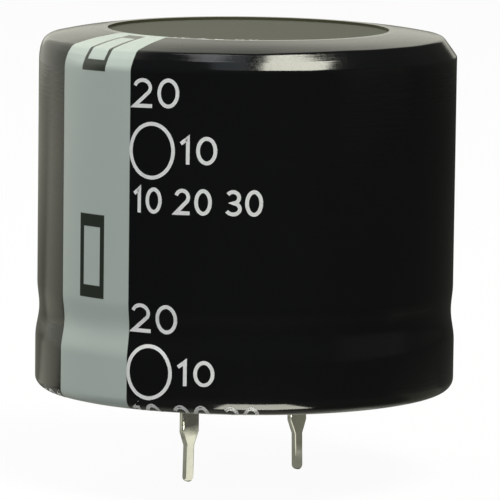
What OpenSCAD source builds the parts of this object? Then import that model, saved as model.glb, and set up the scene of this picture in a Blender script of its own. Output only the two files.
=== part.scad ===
// Snap-in aluminium electrolytic capacitor, 30 mm can, two terminals at 10 mm pitch.
// Origin: on the can's axis, in the plane where the sleeved rim meets the circuit board.
// +Z runs up through the can, the terminals stand on the X axis and point down.

/* [Can] */
// Outer diameter of the aluminium can above its bead
can_d = 30; // [28:0.5:40]
// Height of the can's closed end above the board
can_top = 25.35; // [24:0.05:50]
// Thickness of the drawn wall
can_wall = 0.45; // [0.35:0.05:0.6]
// Radial width of the sloping shoulder at the closed end
shoulder_w = 0.75; // [0.5:0.05:1.2]
// Height of the sloping shoulder
shoulder_h = 1; // [0.8:0.05:1.6]
// Rounding between the closed end and the shoulder
shoulder_top_r = 0.4; // [0.2:0.05:0.6]
// Rounding between the shoulder and the wall
shoulder_foot_r = 0.9; // [0.4:0.1:1.2]
// How much wider in radius the can is below its bead
skirt_flare = 0.12; // [0:0.02:0.2]
// Height of the lowest point of the curled rim above the board
rim_lift = 0.2; // [0.2:0.05:0.4]
// Outer radius of the curled rim's section
curl_r = 0.7; // [0.6:0.05:1]
// Width of the vent's scored lines
score_w = 0.5; // [0.3:0.1:0.8]
// Depth of the vent's scored lines
score_depth = 0.22; // [0.1:0.02:0.3]
// Length of the vent's scored lines
score_len = 15; // [10:0.5:20]

/* [Bead] */
// Height of the middle of the rolled bead
bead_z = 5.75; // [5:0.25:9]
// Height of the rolled groove, from lip to lip
bead_w = 3.8; // [3:0.1:4.4]
// Depth of the rolled groove
bead_depth = 1.2; // [0.8:0.1:1.4]

/* [Sleeve] */
// Thickness of the shrunk film
film = 0.19; // [0.1:0.01:0.3]
// Clearance between the film and the can
film_fit = 0.01; // [0.01:0.01:0.05]
// Width of the ring of film on the closed end, from the can's wall to the opening
ring_w = 4.76; // [3:0.1:6]
// How far the film laps over the insulating plate
lap = 0.56; // [0.3:0.02:1]
// Rounding of the film at the plate's edge
lap_r = 0.3; // [0.1:0.05:0.5]
// How far the film folds in under the rim
hem_w = 1.83; // [1.5:0.05:2.2]
// How far the film sinks where it bridges the bead
film_dip = 0.13; // [0:0.01:0.3]

/* [Printed band] */
// Width of the printed band that marks the negative terminal
band_w = 7; // [4:0.1:10]
// Angle from the negative terminal to the middle of the band
band_turn = 6; // [-20:1:20]
// Thickness of the ink
ink = 0.03; // [0.02:0.01:0.1]
// Distance from the ink's ends to the flat rings of film that other things rest on
ink_end = 0.25; // [0.2:0.05:0.5]
// Width of the minus mark across the band
mark_w = 2.5; // [1.5:0.1:4]
// Length of a minus mark on the can's wall
mark_len = 6; // [4:0.5:8]
// Width of the mark's long borders
mark_side = 0.4; // [0.2:0.05:0.6]
// Width of the mark's end borders
mark_end = 0.9; // [0.4:0.05:1.2]
// Height of the middle of the mark on the wall
mark_z = 10.72; // [9:0.1:16]
// Length of the mark that folds over the shoulder
shoulder_mark_len = 4.8; // [4:0.1:6]
// Distance from the ink's end to the mark that folds over the shoulder
shoulder_mark_edge = 0.3; // [0.2:0.05:1.2]

/* [Insulating plate] */
// Thickness of the plate on the closed end
plate_t = 0.64; // [0.4:0.02:1]

/* [End seal] */
// Thickness of the hard phenolic disc
deck_t = 1.6; // [1.2:0.1:2]
// Thickness of the rubber layer under it
rubber_t = 0.9; // [0.7:0.05:1.1]
// Clearance round the seal's discs and rivet holes
seal_fit = 0.02; // [0.01:0.01:0.1]

/* [Terminals] */
// Distance between the two terminals
pitch = 10; // [9:0.5:11]
// Thickness of the terminal strip
strip_t = 0.5; // [0.4:0.05:0.8]
// Width of the terminal at the board
blade_w = 1.5; // [1.2:0.1:2]
// Width of the prong below the taper
prong_w = 0.74; // [0.5:0.02:1]
// How far the prong's tip reaches below the board's upper face
prong_reach = 6.75; // [4:0.05:8]
// Height of the taper's upper end, below the board's upper face
taper_from = 3.05; // [2:0.05:3.5]
// Length of the taper from the wide blade to the prong
taper_len = 1; // [0.6:0.1:1.5]
// How far the prong's tip leans aside, which holds the part in its board until it is soldered
lean = 0.12; // [0:0.02:0.3]
// Height at which the lean starts, below the board's upper face
lean_from = 2.6; // [1.6:0.1:3]
// Rounding where the lean starts
lean_r = 1; // [0.5:0.1:2]
// Distance from the blade to the rivet in the terminal's foot
foot_reach = 3.4; // [3:0.1:4.5]
// Outer radius of the foot's round eye
eye_r = 2.1; // [1.8:0.1:2.5]
// Inside radius of the terminal's bend
bend_r = 0.35; // [0.2:0.05:0.6]

/* [Rivets] */
// Radius of the rivet's shank
shank_r = 1.2; // [0.8:0.1:1.5]
// Radius of the rivet's outer head
head_r = 2; // [1.6:0.1:2.4]
// Height of the rivet's outer head
head_h = 0.45; // [0.3:0.05:0.6]
// Radius of the rivet's flared inner end
flare_r = 1.9; // [1.5:0.1:2.4]
// Height of the rivet's flared inner end
flare_h = 0.5; // [0.3:0.05:0.8]
// Radius of the inner washer
washer_r = 2.3; // [2:0.1:3]
// Thickness of the inner washer
washer_t = 0.4; // [0.2:0.05:0.8]

/* [Wound element] */
// Clearance between the wound element and the can's wall
element_gap = 0.5; // [0.3:0.1:1]
// Clearance between the wound element and the can's closed end
end_gap = 0.3; // [0.1:0.1:0.8]
// Distance from the bead to the wound element
bead_gap = 0.6; // [0.3:0.1:2]
// Radius of the hole that the winding pin leaves
core_r = 1.75; // [1:0.25:3]
// Thickness of the adhesive tape that holds the roll closed
tape_t = 0.1; // [0.05:0.05:0.2]
// Height of the tape
tape_h = 12; // [6:1:15]
// Width of the lead tabs
tab_w = 5; // [4.6:0.2:6]
// Thickness of the lead tabs
tab_t = 0.25; // [0.2:0.05:0.4]
// Inside radius of a lead tab's fold
tab_bend_r = 0.5; // [0.3:0.1:1]

/* [Hidden] */
$fn = 96;

// Straight pieces that stand for one rounded corner of a section
corner_steps = 6;
// Straight pieces along each rolled groove of a section
groove_steps = 16;
// Overlap of cutting solids past the faces that they cut
over = 0.1;
// A length too small to matter, for comparing places along a path
tiny = 0.001;
// Share of the curl's radius on its inner side, so that its two arcs don't meet in one point
curl_ease = 0.98;

can_r = can_d / 2;
skirt_r = can_r + skirt_flare;
film_r = can_r + film_fit;
film_skirt_r = skirt_r + film_fit;
opening_r = can_r - ring_w;
plate_r = opening_r + lap;
hem_r = film_skirt_r - hem_w;
plate_top = can_top + plate_t;
bead_top = bead_z + bead_w / 2;
bead_foot = bead_z - bead_w / 2;
deck_top = bead_foot - seal_fit;
deck_foot = deck_top - deck_t;
rubber_foot = deck_foot - rubber_t;
seal_r = skirt_r - can_wall - seal_fit;
foot_top = rubber_foot;
foot_low = foot_top - strip_t;
element_r = can_r - can_wall - element_gap;
element_top = can_top - can_wall - end_gap;
element_foot = bead_top + bead_gap;
tab_top = deck_top + tab_t;
washer_top = tab_top + washer_t;
negative_at = 180;
positive_at = 0;
band_at = negative_at + band_turn;

// Section tools: a section is a path of [radius, height] points

// The arc of radius r that rounds the corner at p, between the sides to a and b
function corner(a, p, b, r) =
    let (
        u = (a - p) / norm(a - p),
        v = (b - p) / norm(b - p),
        half = acos(max(-1, min(1, u * v))) / 2,
        middle = (u + v) / norm(u + v),
        centre = p + middle * r / sin(half),
        start = p + u * r / tan(half) - centre,
        turn = 180 - 2 * half,
        side = u[0] * v[1] - u[1] * v[0] > 0 ? -1 : 1
    )
    [for (i = [0 : corner_steps])
        let (w = side * turn * i / corner_steps)
        centre + [start[0] * cos(w) - start[1] * sin(w), start[0] * sin(w) + start[1] * cos(w)]];

// A path whose corners, each [radius, height, rounding], become arcs
function rounded(path) =
    [for (i = [0 : len(path) - 1])
        let (p = [path[i][0], path[i][1]], r = path[i][2])
        each r == 0 ? [p] : corner(
            [path[i - 1][0], path[i - 1][1]], p, [path[i + 1][0], path[i + 1][1]], r)];

// A rolled groove from height top to height foot, blending from radius r1 to radius r2
function groove(r1, r2, top, foot, depth) =
    [for (i = [0 : groove_steps])
        let (t = i / groove_steps, dip = depth * (1 - cos(360 * t)) / 2)
        [r1 + (r2 - r1) * (1 - cos(180 * t)) / 2 - dip, top + (foot - top) * t]];

// The unit normal of the step from a to b, on its left
function left_of(a, b) = [a[1] - b[1], b[0] - a[0]] / norm(b - a);

// The path moved by a distance to its left, with mitred corners
function beside(path, distance) =
    [for (i = [0 : len(path) - 1])
        let (
            n1 = left_of(path[max(i - 1, 0)], path[max(i, 1)]),
            n2 = left_of(path[min(i, len(path) - 2)], path[min(i + 1, len(path) - 1)])
        )
        path[i] + (n1 + n2) * distance / (1 + n1 * n2)];

function reversed(list) = [for (i = [len(list) - 1 : -1 : 0]) list[i]];

// The lengths along a path at which its points lie
function lengths(path) =
    [for (i = 0, s = 0; i < len(path);
        s = s + (i < len(path) - 1 ? norm(path[i + 1] - path[i]) : 0), i = i + 1) s];

// The part of a path between two lengths along it
function stretch(path, from, to) =
    let (
        at = lengths(path),
        r_at = [for (i = [0 : len(path) - 1]) [at[i], path[i][0]]],
        z_at = [for (i = [0 : len(path) - 1]) [at[i], path[i][1]]]
    )
    concat(
        [[lookup(from, r_at), lookup(from, z_at)]],
        [for (i = [0 : len(path) - 1]) if (at[i] > from + tiny && at[i] < to - tiny) path[i]],
        [[lookup(to, r_at), lookup(to, z_at)]]);

// The outside of the can, from the axis over the shoulder and the bead to the curl's edge
can_path = concat(
    rounded([
        [0, can_top, 0],
        [can_r - shoulder_w, can_top, shoulder_top_r],
        [can_r, can_top - shoulder_h, shoulder_foot_r],
        [can_r, bead_top + over, 0]]),
    groove(can_r, skirt_r, bead_top, bead_foot, bead_depth),
    rounded([
        [skirt_r, bead_foot - over, 0],
        [skirt_r, rim_lift, curl_r],
        [skirt_r - 2 * curl_r, rim_lift, curl_r * curl_ease],
        [skirt_r - 2 * curl_r, rubber_foot, 0]]));

// The face of the film that lies on the can
film_path = concat(
    rounded([
        [opening_r, plate_top + film_fit, 0],
        [plate_r, plate_top + film_fit, lap_r],
        [can_r - shoulder_w + film_fit, can_top + film_fit, shoulder_top_r],
        [film_r, can_top - shoulder_h, shoulder_foot_r],
        [film_r, bead_top + over, 0]]),
    groove(film_r, film_skirt_r, bead_top, bead_foot, film_dip),
    rounded([
        [film_skirt_r, bead_foot - over, 0],
        [film_skirt_r, film, curl_r + film_fit],
        [hem_r, film, 0]]));
film_face = beside(film_path, film);

// Lengths along the film's face at which the band and its marks lie
film_len = max(lengths(film_face));
ink_from = lap + ink_end;
ink_to = film_len - (hem_w - curl_r - film_fit) - ink_end;
function face_length_at(z) =
    let (at = lengths(film_face))
    min([for (i = [1 : len(at) - 1])
        if (film_face[i][1] <= z) at[i] + film_face[i][1] - z]);
wall_mark_from = face_length_at(mark_z) - mark_len / 2;

// Sub-part shapes

// A solid of revolution, from the section between a path and its parallel
module shell(path, thickness) {
    rotate_extrude() polygon(concat(path, reversed(beside(path, thickness))));
}

// A patch on the film: a stretch of its face, over a width measured on the wall
module patch(from, to, width, below, above) {
    path = stretch(film_face, from, to);
    angle = width / (film_r + film) * 180 / PI;
    rotate([0, 0, band_at - angle / 2])
        rotate_extrude(angle = angle)
            polygon(concat(beside(path, -below), reversed(beside(path, above))));
}

module minus_mark(from, length) {
    difference() {
        patch(from, from + length, mark_w, over, over);
        patch(from + mark_end, from + length - mark_end, mark_w - 2 * mark_side, 2 * over, 2 * over);
    }
}

module disc(radius, foot, top) {
    translate([0, 0, foot]) cylinder(r = radius, h = top - foot);
}

// Places its children at a terminal's rivet: x, y is the rivet's axis
module at_rivet(at) {
    rotate([0, 0, at]) translate([pitch / 2, -foot_reach, 0]) children();
}

// Places its children in a terminal's own frame: the blade on the axis, the foot towards -Y
module at_terminal(at) {
    rotate([0, 0, at]) translate([pitch / 2, 0, 0]) children();
}

module seal_disc(foot, top) {
    difference() {
        disc(seal_r, foot, top);
        for (at = [negative_at, positive_at])
            at_rivet(at) disc(shank_r + seal_fit, foot - over, top + over);
    }
}

// The strip seen from its edge: along the foot, round the bend, down the blade and the leaning prong
function strip_edge() = rounded([
    [-foot_reach - eye_r, foot_low, 0],
    [-strip_t / 2, foot_low, bend_r],
    [-strip_t / 2, -lean_from, lean_r],
    [-strip_t / 2 - lean, -prong_reach, 0]]);

// The terminal blade seen from the front, with its taper and round tip
module blade_outline() {
    tip_r = prong_w / 2;
    polygon([
        [-blade_w / 2, foot_top],
        [-blade_w / 2, -taper_from],
        [-tip_r, -taper_from - taper_len],
        [-tip_r, -prong_reach + tip_r],
        [tip_r, -prong_reach + tip_r],
        [tip_r, -taper_from - taper_len],
        [blade_w / 2, -taper_from],
        [blade_w / 2, foot_top]]);
    translate([0, -prong_reach + tip_r]) circle(r = tip_r);
}

module terminal_strip() {
    edge = strip_edge();
    rotate([90, 0, 90])
        translate([0, 0, -eye_r])
            linear_extrude(2 * eye_r)
                polygon(concat(edge, reversed(beside(edge, strip_t))));
}

module terminal(at) {
    at_terminal(at)
        difference() {
            intersection() {
                terminal_strip();
                union() {
                    translate([0, strip_t, 0])
                        rotate([90, 0, 0])
                            linear_extrude(foot_reach + strip_t)
                                blade_outline();
                    translate([0, -foot_reach, 0])
                        disc(eye_r, foot_low - over, foot_top + over);
                }
            }
            translate([0, -foot_reach, 0])
                disc(shank_r + seal_fit, foot_low - over, foot_top + over);
        }
}

// The rivet: outer head, shank and the inner end that is spread over the washer
module rivet(at) {
    head_round = head_h / 3;
    at_rivet(at)
        rotate_extrude()
            polygon([
                [0, foot_low - head_h],
                [head_r - head_round, foot_low - head_h],
                [head_r, foot_low - head_h + head_round],
                [head_r, foot_low],
                [shank_r, foot_low],
                [shank_r, washer_top],
                [flare_r, washer_top],
                [shank_r, washer_top + flare_h],
                [0, washer_top + flare_h / 2]]);
}

module washer(at) {
    at_rivet(at)
        difference() {
            disc(washer_r, tab_top, washer_top);
            disc(shank_r + seal_fit, tab_top - over, washer_top + over);
        }
}

// The lead tab lies under the washer, folds up and meets the wound element's end
module lead_tab(at) {
    edge = rounded([
        [-washer_r, deck_top, 0],
        [foot_reach, deck_top, tab_bend_r + tab_t],
        [foot_reach, element_foot, 0]]);
    at_rivet(at)
        difference() {
            rotate([90, 0, 90])
                translate([0, 0, -tab_w / 2])
                    linear_extrude(tab_w)
                        polygon(concat(edge, reversed(beside(edge, tab_t))));
            disc(shank_r + seal_fit, deck_top - over, tab_top + over);
        }
}

// Sub-parts

// The heat-shrunk film: over the shoulder on top, folded under the rim below
module sleeve() {
    color("#141816") shell(film_path, film);
}

// The printed band on the film, with its hollow minus marks left bare
module negative_band() {
    color("#96a299")
        difference() {
            patch(ink_from, ink_to, band_w, 0, ink);
            minus_mark(wall_mark_from, mark_len);
            minus_mark(ink_from + shoulder_mark_edge, shoulder_mark_len);
        }
}

module insulating_plate() {
    color("#6c6c5f") disc(plate_r, can_top, plate_top);
}

// The drawn can: scored vent, sloping shoulder, rolled bead and curled rim
module can() {
    color("#c9cbcc")
        difference() {
            shell(can_path, -can_wall);
            for (turn = [0, 90])
                rotate([0, 0, turn])
                    translate([-score_len / 2, -score_w / 2, can_top - score_depth])
                        cube([score_len, score_w, score_depth + over]);
        }
}

module phenolic_deck() {
    color("#7a4a26") seal_disc(deck_foot, deck_top);
}

module rubber_seal() {
    color("#2a2a2a") seal_disc(rubber_foot, deck_foot);
}

module terminal_negative() {
    color("#b9bbb4") terminal(negative_at);
}

module terminal_positive() {
    color("#b9bbb4") terminal(positive_at);
}

module rivet_negative() {
    color("#c9cbcc") rivet(negative_at);
}

module rivet_positive() {
    color("#c9cbcc") rivet(positive_at);
}

module washer_negative() {
    color("#c9cbcc") washer(negative_at);
}

module washer_positive() {
    color("#c9cbcc") washer(positive_at);
}

module tab_negative() {
    color("#b4b6b6") lead_tab(negative_at);
}

module tab_positive() {
    color("#b4b6b6") lead_tab(positive_at);
}

// The roll of foils and paper, closed up as one piece
module wound_element() {
    color("#d8cfb8")
        difference() {
            disc(element_r - tape_t, element_foot, element_top);
            disc(core_r, element_foot - over, element_top + over);
        }
}

module element_tape() {
    middle = (element_foot + element_top) / 2;
    color("#c8b070")
        difference() {
            disc(element_r, middle - tape_h / 2, middle + tape_h / 2);
            disc(element_r - tape_t, middle - tape_h / 2 - over, middle + tape_h / 2 + over);
        }
}

sleeve();
negative_band();
insulating_plate();
can();
phenolic_deck();
rubber_seal();
terminal_negative();
terminal_positive();
rivet_negative();
rivet_positive();
washer_negative();
washer_positive();
tab_negative();
tab_positive();
wound_element();
element_tape();
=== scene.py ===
# %% [markdown]
# # A snap-in electrolytic capacitor
# The real part is an aluminium can in a tight black sleeve. A grey band printed on the sleeve marks
# the negative terminal, and two tin-plated strips stick out of the sealed end to snap into a board.
# The solids come from the packed CAD model. This lesson gives them the surfaces that a camera sees:
# a film that shrank unevenly, its print, softened metal edges and a finish for every piece.

# %% Load the packed model
import math
import bpy
import numpy as np
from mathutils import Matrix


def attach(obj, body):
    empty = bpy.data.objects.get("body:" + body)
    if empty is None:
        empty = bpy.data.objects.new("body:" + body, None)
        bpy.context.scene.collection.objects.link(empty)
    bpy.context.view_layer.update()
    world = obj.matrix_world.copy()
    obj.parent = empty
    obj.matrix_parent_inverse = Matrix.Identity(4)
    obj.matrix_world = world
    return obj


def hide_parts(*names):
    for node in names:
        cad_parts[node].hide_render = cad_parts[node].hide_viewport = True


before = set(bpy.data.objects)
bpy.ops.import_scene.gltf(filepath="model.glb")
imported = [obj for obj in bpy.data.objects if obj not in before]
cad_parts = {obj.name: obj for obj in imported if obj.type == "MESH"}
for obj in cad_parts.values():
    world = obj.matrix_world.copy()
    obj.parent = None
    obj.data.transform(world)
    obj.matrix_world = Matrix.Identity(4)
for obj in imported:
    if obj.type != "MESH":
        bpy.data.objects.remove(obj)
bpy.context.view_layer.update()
MM = 0.001

# %% [markdown]
# ## The camera
# The photograph was taken with a long lens, a little above the part. The camera was solved from the
# rim, the bead and the tips of both terminals. A camera can be aimed with a constraint, but here its
# pitch and roll are written down as angles, because they were measured. Directions in this lesson
# are given as the camera sees them: azimuth 0 is the camera's side and it grows to its right.

# %% Turns, directions and places
CAMERA_TURN = 38.0      # degrees from the terminals' front (-Y) round to the camera, to the left


def turn_about(axis, degrees):
    """The 3 by 3 matrix that turns by an angle about X (0), Y (1) or Z (2), by the right-hand rule."""
    c, s = math.cos(math.radians(degrees)), math.sin(math.radians(degrees))
    a, b = [(1, 2), (2, 0), (0, 1)][axis]
    m = np.eye(3)
    m[a, a], m[a, b], m[b, a], m[b, b] = c, -s, s, c
    return m


def towards(azimuth, elevation):
    """The unit vector towards a direction that is given as the camera sees it, in degrees."""
    a, e = math.radians(azimuth - 90 - CAMERA_TURN), math.radians(elevation)
    return np.array([math.cos(a) * math.cos(e), math.sin(a) * math.cos(e), math.sin(e)])


def place_object(item, axes, centre):
    """Links an object into the scene with three axes, as columns, and a place."""
    matrix = np.eye(4)
    matrix[:3, :3], matrix[:3, 3] = axes, centre
    bpy.context.scene.collection.objects.link(item)
    item.matrix_world = [list(row) for row in matrix.T]


print("from the axis towards the camera:", towards(0, 0).round(3))

# %% Camera
CAMERA_DISTANCE = 366.3 * MM    # level distance from the can's axis
CAMERA_HEIGHT = 56.14 * MM      # above the board's face
CAMERA_PITCH, CAMERA_YAW, CAMERA_ROLL = -7.189, -0.05, -0.73
FOCAL_PIXELS, IMAGE_PIXELS = 5050.5, 500
SENSOR = 36.0


def make_camera():
    """A camera looks along its own -Z. The measured frame has X right, Y forward and Z up."""
    to_object = turn_about(2, -CAMERA_TURN)
    seen = turn_about(2, CAMERA_YAW) @ turn_about(0, CAMERA_PITCH) @ turn_about(1, CAMERA_ROLL)
    seen = to_object @ seen
    data = bpy.data.cameras.new("camera")
    data.sensor_width = SENSOR
    data.lens = FOCAL_PIXELS / IMAGE_PIXELS * SENSOR
    data.clip_start, data.clip_end = 0.01, 20.0
    camera = bpy.data.objects.new("camera", data)
    axes = np.stack([seen[:, 0], seen[:, 2], -seen[:, 1]], 1)
    place_object(camera, axes, to_object @ np.array([0.0, -CAMERA_DISTANCE, CAMERA_HEIGHT]))
    bpy.context.scene.camera = camera
    return camera


camera = make_camera()
print("camera lens in mm:", round(camera.data.lens, 1), "at", [round(v, 4) for v in camera.location])

# %% [markdown]
# ## The film's section
# The sleeve is a tube of film, shrunk by heat over the can. Its section runs from the round opening
# on top, down a shallow cone, over the can's sloping shoulder, down the wall, across the bead, and
# round the rim to the hem under it. A turned shape is a section carried round an axis. The corners
# could be made by a bevel, but here they are true arcs, because a glossy film shows every flat in
# its reflections.

# %% Corners and grooves


def rounded(corners, steps):
    """A path through [radius, height, rounding] corners; each rounding is an arc that touches both sides.

    The arc's centre lies on the corner's bisector, at its radius over the sine of half the angle."""
    path = []
    for i, (r, z, radius) in enumerate(corners):
        p = np.array([r, z])
        if radius == 0:
            path.append(p[None])
            continue
        u = np.array(corners[i - 1][:2]) - p
        v = np.array(corners[i + 1][:2]) - p
        u, v = u / np.linalg.norm(u), v / np.linalg.norm(v)
        half = math.acos(np.clip(u @ v, -1, 1)) / 2
        centre = p + (u + v) / np.linalg.norm(u + v) * radius / math.sin(half)
        start = p + u * radius / math.tan(half) - centre
        side = -1 if u[0] * v[1] - u[1] * v[0] > 0 else 1
        w = side * (math.pi - 2 * half) * np.linspace(0, 1, steps)
        path.append(centre + np.stack([start[0] * np.cos(w) - start[1] * np.sin(w),
                                       start[0] * np.sin(w) + start[1] * np.cos(w)], 1))
    return np.concatenate(path)


def groove(r1, r2, top, foot, depth, steps):
    """A rolled groove: the radius blends from r1 to r2 by half a cosine and dips by a whole one."""
    t = np.linspace(0, 1, steps)
    r = r1 + (r2 - r1) * (1 - np.cos(np.pi * t)) / 2 - depth * (1 - np.cos(2 * np.pi * t)) / 2
    return np.stack([r, top + (foot - top) * t], 1)


print("a groove 4 mm high dips to radius:", groove(15.2, 15.2, 4, 0, 0.2, 9)[:, 0].min().round(2))

# %% [markdown]
# ## Paths with even steps
# A grid renders best when its steps are about alike. A Subdivision Surface modifier adds points
# everywhere, so each path here is cut by its own lengths instead. A path can also be moved to one
# side of itself, as both edges of a printed stroke are.

# %% Steps and neighbours of a path


def beside(path, distance):
    """The path moved to its left: each point goes along the mean of its two sides' normals."""
    step = np.diff(path, axis=0)
    step /= np.linalg.norm(step, axis=1, keepdims=True)
    normal = np.stack([-step[:, 1], step[:, 0]], 1)
    before = np.concatenate([normal[:1], normal])
    after = np.concatenate([normal, normal[-1:]])
    return path + (before + after) * distance / (1 + (before * after).sum(1, keepdims=True))


def split_counts(path, spacing):
    """How many pieces each step of a path needs, so that none is longer than a spacing."""
    return np.maximum(1, np.ceil(np.linalg.norm(np.diff(path, axis=0), axis=1) / spacing).astype(int))


def split(path, counts):
    """The path with each step cut into equal pieces, by linear blends of its ends."""
    place = np.concatenate([i + np.arange(n) / n for i, n in enumerate(counts)] + [[len(counts)]])
    index = np.arange(len(path))
    return np.stack([np.interp(place, index, path[:, 0]), np.interp(place, index, path[:, 1])], 1)


print("pieces of a step 1 mm long at a spacing of 0.3 mm:",
      split_counts(np.array([[0.0, 0.0], [1.0, 0.0]]), 0.3)[0])

# %% The film's section from its measures
# All sizes of the shapes are in mm
OPENING_R, PLATE_R = 10.24, 10.8        # the film's cut edge, and the plate's edge under it
LIP_Z = 26.19                           # the film's face where it laps over the plate
WALL_R, SKIRT_R, HEM_R = 15.2, 15.32, 13.3
GROOVE_TOP, GROOVE_FOOT = 7.75, 3.55
STRAIGHT = 0.05                         # straight wall that is kept at both ends of the groove
LAP_ROUND, RING_ROUND = 1.2, 21.0       # rounding at the plate's edge and along the ring's middle
RING_OUT, RING_UP = 0.25, 0.05          # where the ring's middle lies, past the mean of its two ends
CORNER_STEPS, GROOVE_STEPS, RIM_STEPS = 11, 29, 16


def film_section(up_r, up_z, up_k, belly, low_z, low_k, dip, rim_k):
    """The film's outer face: a corner on top, a corner at the wall, the groove's dip and the rim's round.

    The shoulder's middle lies out of its chord by the belly, 0.8 of it level and 0.6 of it upwards. Its
    rounding is 0.4 mm and twelve bellies, so that a larger bend spreads over the whole shoulder."""
    ring = [(PLATE_R + up_r) / 2 + RING_OUT, (LIP_Z + up_z) / 2 + RING_UP, RING_ROUND]
    shoulder = [(up_r + WALL_R) / 2 + 0.8 * belly, (up_z + low_z) / 2 + 0.6 * belly, 0.4 + 12 * belly]
    return np.concatenate([
        rounded([[OPENING_R, LIP_Z, 0], [PLATE_R, LIP_Z, LAP_ROUND], ring, [up_r, up_z, up_k], shoulder,
                 [WALL_R, low_z, low_k], [WALL_R, GROOVE_TOP + STRAIGHT, 0]], CORNER_STEPS),
        groove(WALL_R, SKIRT_R, GROOVE_TOP, GROOVE_FOOT, dip, GROOVE_STEPS),
        rounded([[SKIRT_R, GROOVE_FOOT - STRAIGHT, 0], [SKIRT_R, 0, rim_k], [HEM_R, 0, 0]], RIM_STEPS)])


print("points of one section:", len(film_section(14.4, 25.6, 0.6, 0.05, 24.3, 0.8, 0.2, 0.9)))

# %% [markdown]
# ## An uneven shrink
# Heat never shrinks a sleeve evenly. In the photograph the shoulder is soft on the left and crisp on
# the right, and the dip over the bead is deeper on the left. The section is therefore measured in a
# few directions, and the sections between them are smooth blends. A sculpted or simulated film could
# do the same, but numbers keep the shape closed and easy to change.

# %% Sections round the can
# Azimuth, then the top corner's radius, height and rounding, the shoulder's belly, the wall corner's
# height and rounding, the dip over the bead, and the rounding at the rim
SHRINK = np.array([
    [-180, 14.45, 25.58, 0.60, 0.03, 24.35, 0.80, 0.17, 0.90],
    [-90, 14.70, 25.56, 0.95, 0.13, 24.24, 3.60, 0.21, 0.70],
    [-66, 14.60, 25.51, 0.85, 0.10, 24.22, 3.40, 0.20, 0.72],
    [-48, 14.45, 25.47, 0.60, 0.05, 24.22, 1.20, 0.20, 0.82],
    [-5, 14.32, 25.52, 0.40, 0.04, 24.35, 0.60, 0.17, 1.12],
    [35, 14.27, 25.70, 0.40, 0.04, 24.42, 0.50, 0.17, 1.05],
    [90, 14.21, 25.72, 0.45, 0.01, 24.36, 0.30, 0.19, 0.85],
    [180, 14.45, 25.58, 0.60, 0.03, 24.35, 0.80, 0.17, 0.90]])
FILM_SPACING = 0.42     # the longest step of the section
WALL_TOP = 24.0         # below this height the section is wall
WALL_MIDDLE, BEAD_MIDDLE = 15.0, 5.6

mean_section = film_section(*SHRINK[:, 1:].mean(0))
section_counts = split_counts(mean_section, FILM_SPACING)
mean_section = split(mean_section, section_counts)
film_length = np.concatenate([[0], np.cumsum(np.linalg.norm(np.diff(mean_section, axis=0), axis=1))])


def along_at(z):
    """The length along the mean section, from the opening, at which the wall has a height."""
    wall = mean_section[:, 1] < WALL_TOP
    return float(np.interp(-z, -mean_section[wall, 1], film_length[wall]))


print("film: %d points along %.2f mm" % (len(mean_section), film_length[-1]))
print("the bead's middle is at %.2f mm along the film" % along_at(BEAD_MIDDLE))

# %% [markdown]
# ## The film's waves
# Shrunk film isn't a perfect turned shape: it ripples a little where it bends, and its cut edge
# wanders. A noise texture with a Displace modifier could do this, but it would leave a step where the
# grid closes. Sums of cosines with whole numbers of waves meet themselves after one turn.

# %% Film surface as a grid
ROUND_STEPS = 400
BAND_AZIMUTH = 186.0    # degrees from +X; the seam lies opposite, where no print crosses it
rng = np.random.default_rng(11)
azimuth = np.radians(BAND_AZIMUTH + np.linspace(-180, 180, ROUND_STEPS + 1))
around = np.radians(np.linspace(-180, 180, ROUND_STEPS + 1)) * WALL_R
# Each swell: its middle along the film and its reach, the numbers of waves round the can, its size
OUTWARD_SWELLS = {
    "shoulder": (along_at(WALL_TOP) - 0.3, 0.8, [3, 5, 8, 13, 21], 0.02),
    "bead": (along_at(BEAD_MIDDLE), 1.5, [2, 3, 4, 7, 11, 18], 0.03),
    "cut_edge": (0, 0.35, [3, 5, 9, 17, 31, 57], 0.05),
}
RING_SWELL = (4.1, 0.7, [4, 7, 12, 19], 0.02)


def swell(middle, reach, wave_numbers, size):
    """A wobble in mm: a bell curve along the film times a sum of cosines round the can.

    The cosines have random phases and shares, and the shares add up to 1."""
    bell = np.exp(-((film_length - middle) / reach) ** 2)[:, None]
    phase = rng.uniform(0, 2 * np.pi, len(wave_numbers))
    share = rng.uniform(0.5, 1.0, len(wave_numbers))
    total = sum(k * np.cos(n * azimuth + p) for n, p, k in zip(wave_numbers, phase, share))
    return bell * (size * total / share.sum())


def film_grid():
    """Radius and height of the outer face for each point of the section and each azimuth.

    Between two measured directions the sections blend by the smooth step 3 t^2 - 2 t^3."""
    # Degrees from +X become azimuths as the camera sees them, from -180 to 180
    seen = (np.degrees(azimuth) + 90 + CAMERA_TURN + 180) % 360 - 180
    keys = np.stack([split(film_section(*row[1:]), section_counts) for row in SHRINK])
    before = np.clip(np.searchsorted(SHRINK[:, 0], seen, side="right") - 1, 0, len(SHRINK) - 2)
    t = (seen - SHRINK[before, 0]) / (SHRINK[before + 1, 0] - SHRINK[before, 0])
    t = (t * t * (3 - 2 * t))[:, None, None]
    both = (keys[before] * (1 - t) + keys[before + 1] * t).transpose(1, 0, 2)
    r, z = both[..., 0], both[..., 1]
    for row in OUTWARD_SWELLS.values():
        r = r + swell(*row)
    return r, z + swell(*RING_SWELL)


face_r, face_z = film_grid()
wall_row = face_r[np.searchsorted(film_length, along_at(WALL_MIDDLE))]
print("outer radius on the wall: %.2f to %.2f mm" % (wall_row.min(), wall_row.max()))

# %% [markdown]
# ## The sleeve's mesh
# Real film has a thickness, and its cut edge shows at the opening. A Solidify modifier could give it
# that, but here the inner face is worked out too, because it can then be coarser than the outer one.
# Outer face, cut edge, inner face and hem make one grid that closes on itself. It also carries a UV
# map in mm, round the can and along the film, so that the print can be placed with a ruler.

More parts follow.
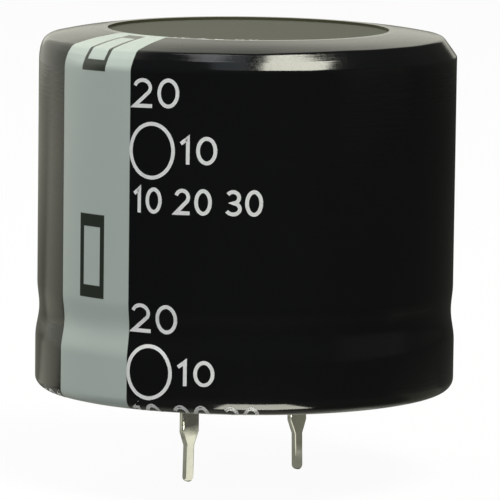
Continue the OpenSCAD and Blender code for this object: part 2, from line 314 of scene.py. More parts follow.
# %% A grid of points as a mesh
SHARP_ANGLE = 40        # degrees between two faces, past which their shared edge is drawn sharp


def mesh_object(name, points, faces, uv=None):
    """A smooth mesh object at the origin, from points in mm, which rides on the part."""
    mesh = bpy.data.meshes.new(name)
    mesh.from_pydata((points.reshape(-1, 3) * MM).tolist(), [], faces.tolist())
    if uv is not None:
        layer = mesh.uv_layers.new(name="lengths")
        corner = np.empty(len(mesh.loops), dtype=np.int32)
        mesh.loops.foreach_get("vertex_index", corner)
        layer.data.foreach_set("uv", uv[corner].astype(np.float32).ravel())
    mesh.polygons.foreach_set("use_smooth", np.ones(len(mesh.polygons), dtype=bool))
    mesh.set_sharp_from_angle(angle=math.radians(SHARP_ANGLE))
    mesh.update()
    piece = bpy.data.objects.new(name, mesh)
    bpy.context.scene.collection.objects.link(piece)
    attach(piece, "root")
    print("%s: %d faces" % (name, len(mesh.polygons)))
    return piece


def grid_faces(rows, columns, close_rows=False):
    """Four-sided faces of a grid of points, numbered row by row; the rows can close on themselves."""
    i = np.arange(rows if close_rows else rows - 1)[:, None]
    j = np.arange(columns - 1)[None]
    i, j, i2, j2 = np.broadcast_arrays(i, j, (i + 1) % rows, j + 1)
    corners = [i * columns + j, i * columns + j2, i2 * columns + j2, i2 * columns + j]
    return np.stack(corners, -1).reshape(-1, 4)


print("the first face of a grid with five columns:", grid_faces(3, 5)[0])

# %% Sleeve
FILM = 0.19             # thickness of the shrunk film
INNER_STEP = 3          # the inner face has every third point of the outer face


def make_sleeve():
    """The outer face, then a coarser inner face back to the opening, as one closed grid.

    The inner face is the outer one moved inwards by the film's thickness along the section's normal."""
    step_r, step_z = np.gradient(face_r, axis=0), np.gradient(face_z, axis=0)
    size = np.hypot(step_r, step_z)
    inner_r, inner_z = face_r + FILM * step_z / size, face_z - FILM * step_r / size
    pick = np.unique(np.append(np.arange(0, len(face_r), INNER_STEP), len(face_r) - 1))[::-1]
    r, z = np.concatenate([face_r, inner_r[pick]]), np.concatenate([face_z, inner_z[pick]])
    along = np.concatenate([film_length, film_length[pick]])[:, None]
    points = np.stack([r * np.cos(azimuth), r * np.sin(azimuth), z], -1)
    uv = np.stack(np.broadcast_arrays(around, along), -1).reshape(-1, 2)
    faces = grid_faces(len(r), ROUND_STEPS + 1, close_rows=True)
    piece = mesh_object("film_sleeve", points, faces[:, ::-1], uv)
    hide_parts("sleeve", "negative_band")
    return piece


sleeve = make_sleeve()

# %% [markdown]
# ## Printed marks
# White marks are screen-printed beside the band and repeat down the film, so one repeat runs off
# under the rim and another ends at the opening. Text objects could make them, but a stroke carried
# along a path lets each mark follow the film exactly. The marks here are plain numerals and a ring.

# %% Signs as strokes
STROKE = 0.27           # width of a printed line
GAP = 0.28              # between two signs


def arc(cx, cy, rx, ry, start, end, steps=16):
    """Points on an ellipse between two angles in degrees: its radii times their cosine and sine."""
    a = np.radians(np.linspace(start, end, steps))
    return np.stack([cx + rx * np.cos(a), cy + ry * np.sin(a)], 1)


# Each sign is a list of strokes in mm, with its baseline at 0, and its width
SIGNS = {
    "0": ([arc(0.75, 1.07, 0.62, 0.94, 0, 360, 41)], 1.50),
    "1": ([np.array([[0.10, 1.58], [0.62, 2.01], [0.62, 0.0]])], 0.95),
    "2": ([np.concatenate([arc(0.70, 1.45, 0.56, 0.55, 165, -36), [[0.13, 0.13], [1.40, 0.13]]])], 1.50),
    "3": ([np.concatenate([arc(0.66, 1.53, 0.52, 0.47, 150, -82, 14),
                           arc(0.66, 0.60, 0.60, 0.46, 80, -155, 16)])], 1.40),
    "o": ([arc(1.75, 0.97, 1.66, 2.08, 0, 360, 73)], 3.60),
    " ": ([], 0.55),
}
# A row's signs, where it starts beside the band's middle, its baseline's height, its signs' share of
# the full width and height, and how far along the film each of its repeats is moved
ROWS = [("20", 3.72, 21.55, 1.12, 0.97, (0.0, 15.90)),
        ("o10", 3.52, 17.66, 1.0, 0.91, (0.0, 15.72)),
        ("10 20 30", 3.84, 14.15, 0.80, 0.84, (-15.38, 0.0, 15.42)),
        ("101", -6.95, 14.15, 0.80, 0.84, (15.42,))]
print("rows of marks, with their repeats:", sum(len(row[-1]) for row in ROWS))

# %% [markdown]
# ## From flat print to the film
# A mark is drawn flat and then laid on the film. A Shrinkwrap modifier could press it on, but it
# would lose the lengths. Here each point keeps its length round the wall and along the section.

# %% Places on the film
STROKE_SPACING = 0.15   # the longest step along a stroke
NORMAL_REACH = 0.6      # how many steps of the grid, to each side, the section's slope is measured over


def ribbon(path, width):
    """Two paths, half a width to each side of a path, with square ends."""
    path = split(path, split_counts(path, STROKE_SPACING))
    return np.stack([beside(path, width / 2), beside(path, -width / 2)], 1)


def blend(grid, i, j):
    """The grid's value between its rows and columns: a linear blend of the four nearest."""
    i0, j0 = np.minimum(i.astype(int), grid.shape[0] - 2), np.minimum(j.astype(int), grid.shape[1] - 2)
    u, v = i - i0, j - j0
    top = grid[i0, j0] * (1 - v) + grid[i0, j0 + 1] * v
    low = grid[i0 + 1, j0] * (1 - v) + grid[i0 + 1, j0 + 1] * v
    return top * (1 - u) + low * u


def film_point(around_at, along, lift):
    """The film's face at a length round the wall and a length along the section, lifted off it in mm.

    The lift goes along the section's normal, which is its slope over a short reach, turned square."""
    i = np.interp(along, film_length, np.arange(len(film_length)))
    j = np.interp(around_at, around, np.arange(len(around)))
    back, ahead = np.maximum(i - NORMAL_REACH, 0), np.minimum(i + NORMAL_REACH, len(film_length) - 1)
    dr = blend(face_r, ahead, j) - blend(face_r, back, j)
    dz = blend(face_z, ahead, j) - blend(face_z, back, j)
    size = np.hypot(dr, dz)
    r, z = blend(face_r, i, j) - lift * dz / size, blend(face_z, i, j) + lift * dr / size
    a = math.radians(BAND_AZIMUTH) + around_at / WALL_R
    return np.stack([r * np.cos(a), r * np.sin(a), z], -1)


band_middle = film_point(np.zeros(1), np.array([along_at(WALL_MIDDLE)]), 0)[0]
print("the band's middle on the wall, in mm:", band_middle.round(2))

# %% Marks
INK_LIFT = 0.012        # how far the ink stands on the film
OPENING_MARGIN, HEM_MARGIN = 0.02, 0.1      # film at both ends that stays free of ink


def make_marks():
    """Every stroke of every row and repeat, as a strip of faces that ends where the film ends."""
    points, faces, count = [], [], 0
    first, last = OPENING_MARGIN, film_length[-1] - HEM_MARGIN
    for text, start, baseline, wide, tall, repeats in ROWS:
        for repeat in repeats:
            x = start
            for sign in text:
                strokes, width = SIGNS[sign]
                for stroke in strokes:
                    path = np.stack([x + stroke[:, 0] * wide,
                                     along_at(baseline) + repeat - stroke[:, 1] * tall], 1)
                    pair = ribbon(path, STROKE)
                    shown = ((pair[..., 1] > first) & (pair[..., 1] < last)).any(1)
                    strip = grid_faces(len(pair), 2)[shown[:-1] & shown[1:]]
                    if len(strip) == 0:
                        continue
                    pair[..., 1] = np.clip(pair[..., 1], first, last)
                    points.append(film_point(pair[..., 0], pair[..., 1], INK_LIFT).reshape(-1, 3))
                    faces.append(strip + count)
                    count += 2 * len(pair)
                x += width * wide + GAP
    return mesh_object("printed_marks", np.concatenate(points), np.concatenate(faces))


marks = make_marks()

# %% [markdown]
# ## Terminals
# Each terminal is stamped from strip and plated, so its edges are rounded by the die and the tin.
# The strip could be modelled again, but its widths, bends and kink are right in the CAD solid, and
# only its edges are too sharp. A copy of its mesh is merged, because it comes as loose triangles,
# and a Bevel modifier rounds every sharp edge. A Weighted Normal modifier then keeps the flats flat:
# without it the round edges' shading would spread across them and bend what they mirror.

# %% Rounded copies of the terminals
EDGE_ROUND, EDGE_SEGMENTS = 0.12, 3
SAME_POINT = 1e-6       # metres
SAME_FLAT, BEVEL_FROM = 0.1, 30     # degrees between faces: merged below one, rounded above the other


def bevelled_copy(node):
    """A copy of a CAD node's mesh with merged points and rounded edges, which stands for the node."""
    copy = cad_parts[node].data.copy()
    piece = bpy.data.objects.new(node + "_finished", copy)
    bpy.context.scene.collection.objects.link(piece)
    weld = piece.modifiers.new("weld", "WELD")
    weld.merge_threshold = SAME_POINT
    flat = piece.modifiers.new("flat", "DECIMATE")
    flat.decimate_type = "DISSOLVE"
    flat.angle_limit = math.radians(SAME_FLAT)
    bevel = piece.modifiers.new("bevel", "BEVEL")
    bevel.width = EDGE_ROUND * MM
    bevel.segments = EDGE_SEGMENTS
    bevel.limit_method = "ANGLE"
    bevel.angle_limit = math.radians(BEVEL_FROM)
    normals = piece.modifiers.new("flat_shading", "WEIGHTED_NORMAL")
    normals.weight = 100
    copy.polygons.foreach_set("use_smooth", np.ones(len(copy.polygons), dtype=bool))
    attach(piece, "root")
    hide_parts(node)
    print(piece.name, "faces before bevel:", len(copy.polygons))
    return piece


terminals = [bevelled_copy("terminal_" + pole) for pole in ("negative", "positive")]

# %% [markdown]
# ## Materials
# Every finish is built from nodes. A finish needs its colour, how rough it is, and the small relief
# that breaks up its reflections. Patterns read Object coordinates, or the film's own lengths, so they
# stay with the piece from every side. Nodes can be joined by hand in the Shader Editor. A few short
# calls do the same here, so that each finish reads as a recipe.

# %% Short calls for nodes


class Nodes:
    """Short calls that add nodes to a tree and join them."""

    def __init__(self, tree):
        self.tree = tree

    def put(self, socket, value):
        """Joins a node's output to a socket, or writes a constant into it."""
        if isinstance(value, bpy.types.NodeSocket):
            self.tree.links.new(value, socket)
        elif isinstance(value, tuple) and len(value) == 3 and socket.type == "RGBA":
            socket.default_value = (*value, 1.0)
        else:
            socket.default_value = value

    def node(self, kind, *values, **settings):
        """A node with its settings, its first inputs filled in order, None to skip one."""
        made = self.tree.nodes.new(kind)
        for name, value in settings.items():
            setattr(made, name, value)
        for socket, value in zip(made.inputs, values):
            if value is not None:
                self.put(socket, value)
        return made

    def math(self, operation, *values):
        """One sum on numbers, such as ADD, MULTIPLY or MULTIPLY_ADD."""
        return self.node("ShaderNodeMath", *values, operation=operation).outputs[0]

    def product(self, first, *others):
        """All values multiplied."""
        for other in others:
            first = self.math("MULTIPLY", first, other)
        return first

    def ramp(self, value, low, high, to_low=0.0, to_high=1.0):
        """A smooth step of a value between two edges."""
        return self.node("ShaderNodeMapRange", value, low, high, to_low, to_high,
                         interpolation_type="SMOOTHSTEP").outputs[0]

    def dot(self, vector, direction):
        """How far a vector reaches along a fixed direction."""
        made = self.node("ShaderNodeVectorMath", vector, direction, operation="DOT_PRODUCT")
        return made.outputs["Value"]

    def mix(self, share, a, b):
        """Colour a where the share is 0 and colour b where it is 1."""
        made = self.node("ShaderNodeMix", share, data_type="RGBA")
        self.put(made.inputs[6], a)
        self.put(made.inputs[7], b)
        return made.outputs[2]

    def mix_shaders(self, share, a, b):
        """Shader a where the share is 0 and shader b where it is 1."""
        return self.node("ShaderNodeMixShader", share, a, b).outputs[0]

    def camera_ray(self):
        """1 for what the camera sees directly, 0 for reflections and light."""
        return self.node("ShaderNodeLightPath").outputs["Is Camera Ray"]


print("short calls:", [name for name in vars(Nodes) if not name.startswith("_")])

# %% [markdown]
# ## What a finish adds
# A real surface is never one even colour. Noise at the size of its grain, cloud or peel varies the
# colour and the gloss a little, and bump gives it relief that is too fine to model. Noise is measured
# in mm here, so a finish keeps its scale on every piece.

# %% A finish


class Finish(Nodes):
    """A material with one main shader, and short calls for its patterns."""

    def __init__(self, name):
        self.material = bpy.data.materials.new(name)
        self.material.use_nodes = True
        super().__init__(self.material.node_tree)
        self.shader = self.tree.nodes["Principled BSDF"]

    def set(self, **values):
        """Sets sockets of the main shader, named in lower case with underscores."""
        for name, value in values.items():
            self.put(self.shader.inputs[name.replace("_", " ").title().replace("Ior", "IOR")], value)

    def place(self):
        """The place on the piece, in the object's own metres."""
        return self.node("ShaderNodeTexCoord").outputs["Object"]

    def noise(self, size_mm, detail=3.0, stretch=(1, 1, 1), place=None, unit=MM):
        """Noise whose lumps are about a size in mm, longer along an axis where its stretch is larger."""
        lump = [size_mm * unit * s for s in stretch]
        scaled = self.node("ShaderNodeVectorMath", place or self.place(), lump, operation="DIVIDE")
        made = self.node("ShaderNodeTexNoise")
        self.put(made.inputs["Vector"], scaled.outputs[0])
        made.inputs["Scale"].default_value = 1.0
        made.inputs["Detail"].default_value = detail
        return made.outputs[0]

    def bump(self, height, depth_mm):
        """Relief from a height between 0 and 1, with its depth in mm."""
        made = self.node("ShaderNodeBump")
        made.inputs["Strength"].default_value = 1.0
        made.inputs["Distance"].default_value = depth_mm * MM
        self.put(made.inputs["Height"], height)
        return made.outputs[0]


def coat(piece, finish):
    """Gives a piece one finish on all its faces."""
    piece.data.materials.clear()
    piece.data.materials.append(finish.material)


print("more calls of a finish:", [name for name in vars(Finish) if not name.startswith("_")])

# %% [markdown]
# ## Film and band
# The band is ink on the film, so one material holds both. An image texture could hold the print, but
# its edges would blur when seen close. Here its outline is worked out from the film's own lengths: a
# strip of constant width, less two hollow rectangles that stand for minus signs. The film is almost
# black and glossy, with the slight orange peel of shrunk vinyl.

# %% Outline of the band
BAND_W = 6.98
STRIP_MIDDLE, STRIP_LENGTH = 20.0, 80.0     # longer than the film, so the strip has no end on it
MARK_END = 0.9                              # height of a mark's two end bars
# Each mark's middle along the film, its length, its width and the width of its side lines
WALL_MARK = (along_at(10.72), 6.0, 2.5, 0.42)
SHOULDER_MARK = (3.40, 5.30, 2.4, 0.33)
EDGE = 0.03                                 # softness of a printed edge


def inside_box(film, around, along, middle, width, length):
    """1 inside a rectangle on the film and 0 outside: a step of the larger distance past its sides."""
    off_side = film.math("SUBTRACT", film.math("ABSOLUTE", around), width / 2)
    off_end = film.math("ABSOLUTE", film.math("SUBTRACT", along, middle))
    off_end = film.math("SUBTRACT", off_end, length / 2)
    return film.ramp(film.math("MAXIMUM", off_side, off_end), EDGE, -EDGE)


def band_shares(film, around, along):
    """Where the strip lies, and where the ink lies: the strip less each mark's frame."""
    strip = inside_box(film, around, along, STRIP_MIDDLE, BAND_W, STRIP_LENGTH)
    band = strip
    for middle, length, width, side in (WALL_MARK, SHOULDER_MARK):
        outer = inside_box(film, around, along, middle, width, length)
        hollow = inside_box(film, around, along, middle, width - 2 * side, length - 2 * MARK_END)
        band = film.math("SUBTRACT", band, film.math("SUBTRACT", outer, hollow))
    return strip, film.math("MAXIMUM", band, 0.0)


print("marks on the band at %.1f and %.1f mm along the film" % (SHOULDER_MARK[0], WALL_MARK[0]))

# %% Film finish
CUT_EDGE = (0.08, 0.02)                     # where the paler cut face of the film fades in
PEEL_DEPTH, PEEL_UNDER_INK = 0.0065, 0.12   # relief in mm, and the share of it that ink leaves


def film_finish():
    """Near-black vinyl, painted greyer where it shows through the strip as a painted reflection, with grey
    ink and a rippled gloss.
    """
    film = Finish("heat_shrunk_film")
    lengths = film.node("ShaderNodeUVMap", uv_map="lengths").outputs[0]
    parts = film.node("ShaderNodeSeparateXYZ", lengths)
    around, along = parts.outputs[0], parts.outputs[1]
    strip, band = band_shares(film, around, along)
    cloud = film.noise(5.0, 2.0)
    speck = film.noise(0.25, 4.0)
    drawn = film.noise(1.0, 3.0, (2.6, 0.22, 1), lengths, 1.0)
    ink = film.mix(cloud, (0.436, 0.502, 0.484), (0.460, 0.526, 0.508))
    vinyl = film.mix(cloud, (0.0030, 0.0034, 0.0040), (0.0045, 0.0050, 0.0060))
    # Inside the strip the bare film is painted greyer: a painted reflection
    vinyl = film.mix(strip, vinyl, (0.026, 0.033, 0.026))
    vinyl = film.mix(film.ramp(along, *CUT_EDGE), vinyl, (0.060, 0.060, 0.035))
    gloss = film.ramp(speck, 0.2, 0.8, 0.10, 0.17)
    satin = film.ramp(speck, 0.2, 0.8, 0.28, 0.30)
    peel = film.math("MULTIPLY_ADD", drawn, 0.7, film.math("MULTIPLY", speck, 0.15))
    peel = film.math("MULTIPLY", peel, film.math("MULTIPLY_ADD", band, PEEL_UNDER_INK - 1.0, 1.0))
    film.set(base_color=film.mix(band, vinyl, ink), roughness=film.mix(band, gloss, satin), ior=1.5)
    film.set(normal=film.bump(peel, PEEL_DEPTH))
    return film


coat(sleeve, film_finish())
print("film coated:", sleeve.data.materials[0].name)

# %% [markdown]
# ## Ink of the marks
# Screen-printed white on black film is thin, so a little of the black shows through and the white is
# not even. The marks are their own mesh, so a plain white material with a fine noise is enough.

# %% White ink finish


def white_ink():
    """White between two tones by a fine noise, satin, with a faint grain."""
    ink = Finish("white_ink")
    ink.set(base_color=ink.mix(ink.noise(0.35, 3.0), (0.70, 0.72, 0.74), (0.88, 0.90, 0.92)))
    ink.set(roughness=ink.ramp(ink.noise(0.2), 0.2, 0.8, 0.38, 0.5))
    ink.set(normal=ink.bump(ink.noise(0.15), 0.004))
    return ink


coat(marks, white_ink())
print("marks coated:", marks.data.materials[0].name)

# %% [markdown]
# ## Metal, seal and the pieces inside
# Tin plating is soft and slightly cloudy, with fine lines along the strip. The rolled and drawn
# aluminium is satin. The seal is a brown laminate under dull black rubber. Three recipes cover all of
# them, because they differ only in colour, roughness and the size of their grain.

# %% Tin plating


def tin():
    """Mirror-like plating: a cloudy colour and roughness, and relief that is mostly lines along Z."""
    plate = Finish("tin_plating")
    lines = plate.noise(0.10, 3.0, (1, 1, 10))
    cloud = plate.noise(0.35, 4.0)
    plate.set(base_color=plate.mix(cloud, (0.56, 0.56, 0.50), (0.74, 0.74, 0.68)), metallic=1.0)
    plate.set(roughness=plate.ramp(cloud, 0.3, 0.75, 0.07, 0.15))
    relief = plate.math("MULTIPLY_ADD", lines, 0.6, plate.math("MULTIPLY", cloud, 0.4))
    plate.set(normal=plate.bump(relief, 0.004))
    return plate


tin_finish = tin()
for piece in terminals:
    coat(piece, tin_finish)
print("tin on:", [piece.name for piece in terminals])

# %% Satin metal and dull surfaces
METAL_SPREAD, DULL_SPREAD = 0.14, 0.12      # how much rougher the roughest spots are


def aluminium(name, colour, rough, grain_mm):
    """Satin metal, whose grain is six times longer along Z and darkens the colour to 0.86 of it."""
    metal = Finish(name)
    grain = metal.noise(grain_mm, 4.0, (1, 1, 6))
    darker = tuple(c * 0.86 for c in colour)
    metal.set(base_color=metal.mix(grain, darker, colour), metallic=1.0)
    metal.set(roughness=metal.ramp(grain, 0.2, 0.8, rough, rough + METAL_SPREAD))
    metal.set(normal=metal.bump(grain, 0.01))
    return metal


def dull(name, dark, light, rough, grain_mm, depth_mm, stretch=(1, 1, 1), shine=0.5):
    """A surface that isn't metal: one grain sets its colour between two, its roughness and relief."""
    surface = Finish(name)
    grain = surface.noise(grain_mm, 4.0, stretch)
    surface.set(base_color=surface.mix(surface.ramp(grain, 0.3, 0.7), dark, light))
    roughness = surface.ramp(grain, 0.2, 0.8, rough, rough + DULL_SPREAD)
    surface.set(roughness=roughness, specular_ior_level=shine)
    surface.set(normal=surface.bump(grain, depth_mm))
    return surface


print("roughness varies by %.2f on metal and %.2f on dull pieces" % (METAL_SPREAD, DULL_SPREAD))

# %% A finish for every node
finishes = {
    "insulating_plate": dull("plate_sheet", (0.074, 0.078, 0.062), (0.088, 0.092, 0.075),
                             0.60, 0.4, 0.006, shine=0.15),
    "can": aluminium("drawn_aluminium", (0.80, 0.81, 0.82), 0.28, 0.3),
    "phenolic_deck": dull("phenolic_laminate", (0.14, 0.06, 0.025), (0.24, 0.11, 0.045), 0.4, 0.5, 0.01),
    "rubber_seal": dull("seal_rubber", (0.012, 0.012, 0.013), (0.022, 0.022, 0.022), 0.6, 0.3, 0.02),
    "rivet": aluminium("rivet_aluminium", (0.76, 0.77, 0.78), 0.22, 0.2),
    "washer": aluminium("washer_aluminium", (0.74, 0.75, 0.76), 0.26, 0.2),
    "tab": aluminium("tab_foil", (0.68, 0.69, 0.70), 0.36, 0.25),
    "wound_element": dull("wound_paper", (0.50, 0.43, 0.30), (0.66, 0.58, 0.42), 0.6, 0.8, 0.02, (1, 1, 8)),
    "element_tape": dull("adhesive_film", (0.42, 0.31, 0.11), (0.52, 0.40, 0.16), 0.3, 0.6, 0.004),
}
# A node without a finish of its own name takes its kind's, as both rivets do
for node_name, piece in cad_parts.items():
    key = node_name if node_name in finishes else node_name.split("_")[0]
    if key in finishes:
        coat(piece, finishes[key])
print("finishes of their own: %d, over %d nodes in all" % (len(finishes), len(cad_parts)))

# %% [markdown]
# ## Floor
# The part stands on a pale floor at the tips of its terminals, and the camera sees that floor nearly white.
# Glossy black film mirrors whatever stands before it, and a white floor would turn it grey. So for every
# other ray the floor is a dark table with four grey papers on it. Two lie far out on the left, where the
# film's left wall mirrors them; they are painted lighter far out, as painted light where the lamps' light
# falls off. Two lie close by, one on each side, for the film's lower edge and the terminals; the left one
# is painted light where the can's shadow falls. The Light Path node tells the two kinds of ray apart.

# %% Table and its papers
PRONG_TIP = -6.75
STAND_R, STAND_SOFT_R = 15.5, 17.825    # radius of the grey stand under the can, and its soft edge's
AXIS_SIZE = 1e-4                        # metres; keeps the axis itself from a division by zero
TABLE_DARK, APRON_GREY = (0.042, 0.042, 0.042), (0.10, 0.10, 0.10)
STAND_GREY, FLOOR_WHITE = (0.25, 0.25, 0.25), (0.82, 0.82, 0.82)
GLOW_SHARE = 0.95                       # how much of the floor's white is its own, for the camera
TABLE_END = (280, 400)                  # where the table fades out and the room shows past it
# Distances from the axis between which a zone fades in
ZONES = {"close": (38, 30), "apron": (75, 25), "beyond": (20, 45), "far": (100, 260)}
# Each paper: its azimuth, the cosines at its soft sides, its zone, and its colour near and far away
PAPERS_AND_PAINTED_LIGHT = [(98, 0.91, 0.97, "apron", (0.19, 0.19, 0.175), (0.19, 0.19, 0.175)),
          # The next two papers are lighter far out: painted light where the lamps' light falls off
          (-140, 0.78, 0.90, "beyond", (0.175, 0.175, 0.160), (0.37, 0.37, 0.34)),
          (-124, 0.955, 0.99, "beyond", (0.50, 0.50, 0.46), (0.67, 0.67, 0.62)),
          # This paper is lighter than the table where the can's shadow falls on it: painted light
          (-100, 0.85, 0.95, "close", (0.48, 0.48, 0.45), (0.48, 0.48, 0.45))]


def table_colour(paint, place, from_axis):
    """The table's grey, lighter close to the part, with each paper laid over it and the stand on top.

    A paper is a sector: a smooth step of the cosine of the angle to its azimuth, times its zone."""
    zones = {name: paint.ramp(from_axis, *(edge * MM for edge in edges)) for name, edges in ZONES.items()}
    table = paint.mix(zones["apron"], TABLE_DARK, APRON_GREY)
    for azimuth, low, high, zone, near_colour, far_colour_with_painted_light in PAPERS_AND_PAINTED_LIGHT:
        cosine = paint.math("DIVIDE", paint.dot(place, towards(azimuth, 0)),
                            paint.math("MAXIMUM", from_axis, AXIS_SIZE))
        share = paint.math("MULTIPLY", paint.ramp(cosine, low, high), zones[zone])
        # Each paper turns from its near colour to its far colour; the lighter far colours are painted light
        table = paint.mix(share, table, paint.mix(zones["far"], near_colour, far_colour_with_painted_light))
    return paint.mix(paint.ramp(from_axis, STAND_SOFT_R * MM, STAND_R * MM), table, STAND_GREY)


def floor_finish():
    """White for the camera, the table for every other ray, and nothing at all past the table's end."""
    paint = Finish("floor_paint")
    place = paint.place()
    flat_place = paint.node("ShaderNodeVectorMath", place, (1.0, 1.0, 0.0), operation="MULTIPLY").outputs[0]
    from_axis = paint.node("ShaderNodeVectorMath", flat_place, operation="LENGTH").outputs["Value"]
    seen = paint.camera_ray()
    paint.set(base_color=paint.mix(seen, table_colour(paint, flat_place, from_axis), FLOOR_WHITE),
              roughness=0.9, specular_ior_level=0.0, normal=paint.bump(paint.noise(1.5), 0.01))
    glow = paint.node("ShaderNodeEmission", (1.0, 1.0, 1.0), 1.0).outputs[0]
    floor = paint.mix_shaders(paint.math("MULTIPLY", seen, GLOW_SHARE), paint.shader.outputs[0], glow)
    past_end = paint.ramp(from_axis, *(edge * MM for edge in TABLE_END))
    past_end = paint.math("MULTIPLY", past_end, paint.math("SUBTRACT", 1.0, seen))
    nothing = paint.node("ShaderNodeBsdfTransparent").outputs[0]
    surface = paint.tree.nodes["Material Output"].inputs["Surface"]
    paint.put(surface, paint.mix_shaders(past_end, floor, nothing))
    return paint


print("table colours:", len(PAPERS_AND_PAINTED_LIGHT), "papers in", len(ZONES), "zones")

# %% Floor
FLOOR_HALF = 1.5        # metres from the axis to the floor's sides


def sheet(name, half, z, finish):
    """A square sheet that isn't part of the object."""
    mesh = bpy.data.meshes.new(name)
    corners = [(-half, -half, z), (half, -half, z), (half, half, z), (-half, half, z)]
    mesh.from_pydata(corners, [], [(0, 1, 2, 3)])
    piece = bpy.data.objects.new(name, mesh)
    bpy.context.scene.collection.objects.link(piece)
    mesh.materials.append(finish.material)
    return piece


floor = sheet("floor", FLOOR_HALF, PRONG_TIP * MM, floor_finish())
print("floor at %.2f mm, %.1f m wide" % (floor.data.vertices[0].co.z / MM, floor.dimensions.x))

# %% [markdown]
# ## The room
# The room's even light comes from the world. It is bright behind the part, where the ring of film on
# top mirrors it, softer on the left, and dark in front and on the right. The camera sees plain white.
# A photograph of a real room could light the part too, but a few smooth steps can each be set alone.

# %% World
ROOM_TINT = (1.0, 0.995, 0.87)
ROOM_DIM = 0.06                         # strength where no part of the room is bright
ROOM_LEVELS = {"left": 0.70, "high_left": 0.30, "right": 0.05, "back": 0.74}
BACK_SLANT = 2.6                        # the back's glow is narrow: its sides fall off this steeply


def make_world():
    """The strength is the dim level plus each part of the room, a product of smooth steps of direction."""
    world = bpy.data.worlds.new("studio")
    world.use_nodes = True
    bpy.context.scene.world = world
    room = Nodes(world.node_tree)
    direction = room.node("ShaderNodeTexCoord").outputs["Generated"]

    def share(axis, low, high):
        """A smooth step of how far a ray's direction reaches along an axis."""
        return room.ramp(room.dot(direction, axis), low, high)

    up = (0, 0, 1)
    behind, aside = towards(180, 0), towards(90, 0)
    parts = {}
    parts["left"] = room.product(share(towards(-90, 0), 0.02, 0.42), share(towards(-175, 0), -0.05, 0.30),
                                 share(up, 0.92, 0.75))
    parts["high_left"] = room.product(parts["left"], share(up, 0.15, 0.60))
    parts["right"] = room.product(share(towards(75, 0), 0.88, 0.97), share(up, 0.50, 0.20))
    parts["back"] = room.product(share(behind - aside * BACK_SLANT, 0.0, 0.25),
                                 share(behind + aside * BACK_SLANT, 0.0, 0.25),
                                 share(up, -0.02, 0.06), share(up, 0.85, 0.30))
    strength = ROOM_DIM
    for name, level in ROOM_LEVELS.items():
        strength = room.math("MULTIPLY_ADD", parts[name], level, strength)
    glow = room.tree.nodes["Background"]
    room.put(glow.inputs["Color"], ROOM_TINT)
    room.put(glow.inputs["Strength"], strength)
    white = room.node("ShaderNodeBackground", (1.0, 1.0, 1.0), 1.0)
    either = room.mix_shaders(room.camera_ray(), glow.outputs[0], white.outputs[0])
    room.put(room.tree.nodes["World Output"].inputs["Surface"], either)
    return world


print("world:", make_world().name, ROOM_LEVELS)

# %% [markdown]
# ## Lamps
# A glossy part is lit by what it mirrors as much as by the light that falls on it. The large lamp
# above, to the right and in front, lights everything and shows as the streak on the shoulder. A weak
# one beside it is the streak's dim end. Two softer ones fill the left, and a third lights the papers
# on the table there. Three small ones lie on the floor: one just before the part shows as the bright
# line in the lower rim, and two under the part show in the terminals.
#
# A sun lamp would be simpler, but it has no outline, and a mirror shows the outline of a lamp. Each
# strength is given as the brightness of the lamp's face, so a lamp can be resized at equal brightness.

# %% Helpers for lamps
LAMP_TINT, WHITE, COOL_TINT = (1.0, 0.995, 0.86), (1.0, 1.0, 1.0), (0.80, 0.92, 1.0)
ABOVE, BELOW = np.array([0.0, 0.0, 1.0]), np.array([0.0, 0.0, -1.0])
CAN_MIDDLE = 0.013      # metres above the board, where the far lamps aim
FAR = 0.6               # metres from there to a far lamp
PANEL_Z = 0.525         # height of the level lamps over the can
LAMP_CLEARANCE = 0.1    # mm from the terminals' tips up to the lamps under the part


def lamp(name, centre, back, size, radiance, tint=LAMP_TINT):
    """A soft lamp of a size in metres, with its back towards a direction. It shines the other way.

    Its watts are radiance times pi times its area."""
    data = bpy.data.lights.new(name, "AREA")
    data.shape = "RECTANGLE"
    data.size, data.size_y = size
    data.energy = radiance * math.pi * size[0] * size[1]
    data.color = tint
    light = bpy.data.objects.new(name, data)
    # A level lamp has no side from the cross product, so its side is the camera's right
    side = np.cross(ABOVE, back) if abs(back[2]) < 0.99 else towards(90, 0)
    side = side / np.linalg.norm(side)
    place_object(light, np.stack([side, np.cross(back, side), back], 1), centre)
    print("lamp %s: %.4g W" % (name, data.energy))
    return light


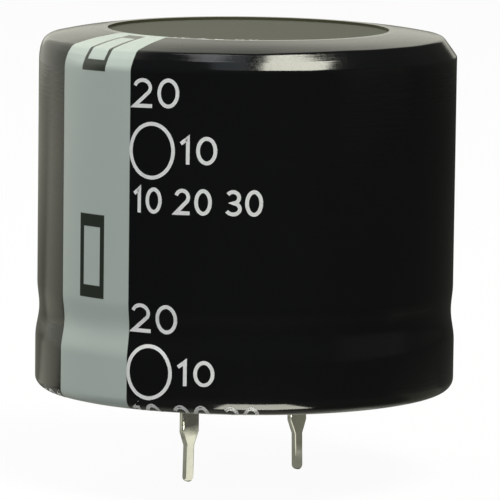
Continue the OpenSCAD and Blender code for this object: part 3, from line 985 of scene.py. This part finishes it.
def far_lamp(name, azimuth, elevation, size, radiance):
    """A white lamp in a direction, aimed at the middle of the can."""
    back = towards(azimuth, elevation)
    return lamp(name, [0, 0, CAN_MIDDLE] + back * FAR, back, size, radiance, WHITE)


def level_place(right, front, height):
    """A place to the right and to the front of the can's axis as the camera sees it, at a height."""
    return towards(90, 0) * right + towards(0, 0) * front + [0, 0, height]


def foot_lamp(name, right, front, size, radiance):
    """A lamp under the terminals that shines up, with its place and size in mm."""
    centre = level_place(right, front, PRONG_TIP + LAMP_CLEARANCE) * MM
    return lamp(name, centre, BELOW, (size[0] * MM, size[1] * MM), radiance)


# %% Lamps round the part
# Each lamp's place or direction, its size in metres and its brightness
lamp("key_above", level_place(0.194, 0.240, PANEL_Z), ABOVE, (0.285, 0.275), 15.2)
lamp("weak_above", level_place(-0.075, 0.240, PANEL_Z), ABOVE, (0.14, 0.31), 0.6, COOL_TINT)
far_lamp("fill_above", -62, 76, (0.20, 0.20), 2.0)
soft_fill = far_lamp("fill_front", -36, 20, (0.40, 0.40), 3.3)
table_lamp = lamp("table_left", towards(-126, 0) * 0.27 + [0, 0, 0.22], ABOVE, (0.2, 0.2), 2.9)
# These two light what is dull and stay out of every reflection
for light in (soft_fill, table_lamp):
    light.visible_glossy = False

# %% Lamps on the floor
RIM_LAMP_Z = PRONG_TIP + 0.15
rim_lamp = lamp("rim_strip", towards(6.5, 0) * 0.0226 + [0, 0, RIM_LAMP_Z * MM], BELOW,
                (0.0118, 0.0110), 9.5)
rim_lamp.visible_diffuse = False        # only the film's gloss sees it
stand_lamp = foot_lamp("stand_glow", 0, 0, (30.0, 30.0), 0.18)
stand_lamp.data.shape = "DISK"
strip_lamp = foot_lamp("prong_glow", 3.9, 5.7, (16.4, 7.4), 0.80)
for light in (rim_lamp, stand_lamp, strip_lamp):
    light.visible_camera = False
bpy.context.scene.view_settings.view_transform = "Standard"
print("view transform:", bpy.context.scene.view_settings.view_transform)

# %% [markdown] What this lesson adds must stay inside the CAD solids' box, or the part would no longer have its real size.
